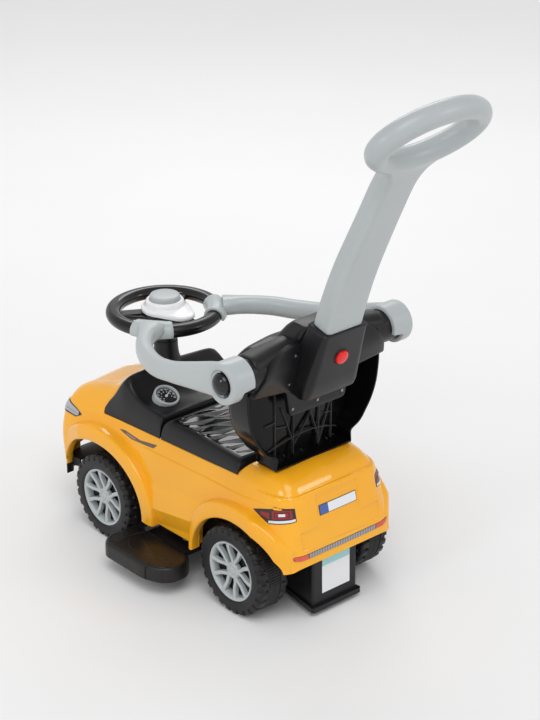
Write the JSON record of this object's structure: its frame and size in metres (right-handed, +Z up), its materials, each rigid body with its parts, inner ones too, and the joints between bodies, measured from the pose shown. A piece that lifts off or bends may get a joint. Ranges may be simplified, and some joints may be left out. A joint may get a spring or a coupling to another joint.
{
  "type": "push car with parent handle",
  "caption": "Toddler ride-on push car with a pull-out parent handle, guard arms over the steering wheel, slide-in footrests, storage under the seat and an anti-tip stop",
  "frame": {"origin": "on the ground under the middle of the car's bounding box", "axes": "+Z up, nose to -Y, the car's left side to +X"},
  "size_m": [0.43, 0.843, 0.9249],
  "materials": {
    "yellow_gloss": "smooth glossy moulded plastic",
    "black_satin": "satin moulded plastic",
    "black_gloss": "glossy moulded plastic",
    "grey_gloss": "smooth light grey plastic",
    "white_gloss": "smooth white plastic",
    "red_gloss": "smooth red plastic",
    "wheel_black": "matte blow-moulded plastic",
    "steel": "plain zinc-plated steel",
    "board_green": "circuit board laminate",
    "speaker_black": "plain black plastic"
  },
  "bodies": {
    "car": {"body_shell": "yellow_gloss", "chassis": "black_satin", "front_valance": "black_satin", "dash_console": "black_satin", "gauge_bezels": "grey_gloss", "gauge_dials": "black_gloss", "storage_tub": "black_satin", "seat_hinge_pin": "steel", "backrest_shell": "black_satin", "backrest_rear_cover": "black_satin", "cover_screws": "steel", "king_pins": "steel", "rear_axle": "steel", "rear_axle_nuts": "steel", "anti_tip_stop": "black_satin", "stop_screws": "steel", "body_screws": "steel", "release_spring": "steel"},
    "steering": {"steering_wheel": "black_satin", "horn_housing": "white_gloss", "housing_screws": "steel", "horn_speaker": "speaker_black", "horn_circuit_board": "board_green", "battery_cells": "steel", "steering_shaft": "steel", "horn_spring": "steel"},
    "horn": {"horn_button": "grey_gloss"},
    "left_knuckle_set": {"left_knuckle": "black_satin", "left_stub_axle": "steel", "left_axle_nut": "steel"},
    "right_knuckle_set": {"right_knuckle": "black_satin", "right_stub_axle": "steel", "right_axle_nut": "steel"},
    "track_rod": {"tie_rod": "black_satin"},
    "left_arm": {"left_guard_arm": "grey_gloss", "left_arm_spring": "steel"},
    "right_arm": {"right_guard_arm": "grey_gloss", "right_arm_spring": "steel"},
    "left_knob": {"left_arm_button": "black_satin"},
    "right_knob": {"right_arm_button": "black_satin"},
    "parent_handle": {"handle": "grey_gloss"},
    "release": {"release_button": "red_gloss"},
    "lid": {"seat_lid": "black_gloss"},
    "left_step": {"left_footrest": "black_satin"},
    "right_step": {"right_footrest": "black_satin"},
    "front_left_wheel": {"front_left_tyre": "wheel_black", "front_left_hub_cap": "grey_gloss"},
    "front_right_wheel": {"front_right_tyre": "wheel_black", "front_right_hub_cap": "grey_gloss"},
    "rear_left_wheel": {"rear_left_tyre": "wheel_black", "rear_left_hub_cap": "grey_gloss"},
    "rear_right_wheel": {"rear_right_tyre": "wheel_black", "rear_right_hub_cap": "grey_gloss"}
  },
  "joints": [
    {"name": "steering_turn", "type": "hinge", "parent": "car", "child": "steering", "pos_m": [0, -0.2495, 0.397], "axis": [0, 0, 1], "range_deg": [-20, 20]},
    {"name": "left_knuckle_turn", "type": "hinge", "parent": "car", "child": "left_knuckle_set", "pos_m": [0.066, -0.2595, 0.078], "axis": [0, 0, 1], "range_deg": [-20, 20]},
    {"name": "right_knuckle_turn", "type": "hinge", "parent": "car", "child": "right_knuckle_set", "pos_m": [-0.066, -0.2595, 0.078], "axis": [0, 0, 1], "range_deg": [-20, 20]},
    {"name": "tie_rod_pin", "type": "hinge", "parent": "left_knuckle_set", "child": "track_rod", "pos_m": [0.066, -0.2295, 0.065], "axis": [0, 0, 1], "range_deg": [-20, 20]},
    {"name": "horn_press", "type": "slide", "parent": "steering", "child": "horn", "axis": [0, 0, -1], "range_m": [0, 0.003], "stiffness_N_per_m": 500, "springref_m": -0.004, "deforming": ["horn_spring"]},
    {"name": "left_arm_swing", "type": "hinge", "parent": "car", "child": "left_arm", "pos_m": [0.17, 0.1269, 0.446], "axis": [-1, 0, 0], "range_deg": [0, 95]},
    {"name": "right_arm_swing", "type": "hinge", "parent": "car", "child": "right_arm", "pos_m": [-0.17, 0.1269, 0.446], "axis": [-1, 0, 0], "range_deg": [0, 95]},
    {"name": "left_arm_button_press", "type": "slide", "parent": "left_arm", "child": "left_knob", "axis": [-1, 0, 0], "range_m": [0, 0.004], "stiffness_N_per_m": 500, "springref_m": -0.004, "deforming": ["left_arm_spring"]},
    {"name": "right_arm_button_press", "type": "slide", "parent": "right_arm", "child": "right_knob", "axis": [1, 0, 0], "range_m": [0, 0.004], "stiffness_N_per_m": 500, "springref_m": -0.004, "deforming": ["right_arm_spring"]},
    {"name": "handle_pull", "type": "slide", "parent": "car", "child": "parent_handle", "axis": [0, 0.2756, 0.9613], "range_m": [0, 0.115]},
    {"name": "release_press", "type": "slide", "parent": "car", "child": "release", "axis": [0, -0.9613, 0.2756], "range_m": [0, 0.005], "stiffness_N_per_m": 500, "springref_m": -0.004, "deforming": ["release_spring"]},
    {"name": "seat_lid_open", "type": "hinge", "parent": "car", "child": "lid", "pos_m": [0, -0.1205, 0.254], "axis": [1, 0, 0], "range_deg": [0, 60]},
    {"name": "left_footrest_slide", "type": "slide", "parent": "car", "child": "left_step", "axis": [1, 0, 0], "range_m": [-0.045, 0]},
    {"name": "right_footrest_slide", "type": "slide", "parent": "car", "child": "right_step", "axis": [1, 0, 0], "range_m": [0, 0.045]},
    {"name": "front_left_wheel_spin", "type": "hinge", "parent": "left_knuckle_set", "child": "front_left_wheel", "pos_m": [0.1134, -0.2595, 0.078], "axis": [1, 0, 0], "continuous": true},
    {"name": "front_right_wheel_spin", "type": "hinge", "parent": "right_knuckle_set", "child": "front_right_wheel", "pos_m": [-0.1134, -0.2595, 0.078], "axis": [1, 0, 0], "continuous": true},
    {"name": "rear_left_wheel_spin", "type": "hinge", "parent": "car", "child": "rear_left_wheel", "pos_m": [0.1134, 0.0865, 0.078], "axis": [1, 0, 0], "continuous": true},
    {"name": "rear_right_wheel_spin", "type": "hinge", "parent": "car", "child": "rear_right_wheel", "pos_m": [-0.1134, 0.0865, 0.078], "axis": [1, 0, 0], "continuous": true}
  ],
  "couplings": [
    {"joint": "left_knuckle_turn", "follows": "steering_turn", "ratio": 1},
    {"joint": "right_knuckle_turn", "follows": "steering_turn", "ratio": 1},
    {"joint": "tie_rod_pin", "follows": "steering_turn", "ratio": -1}
  ]
}
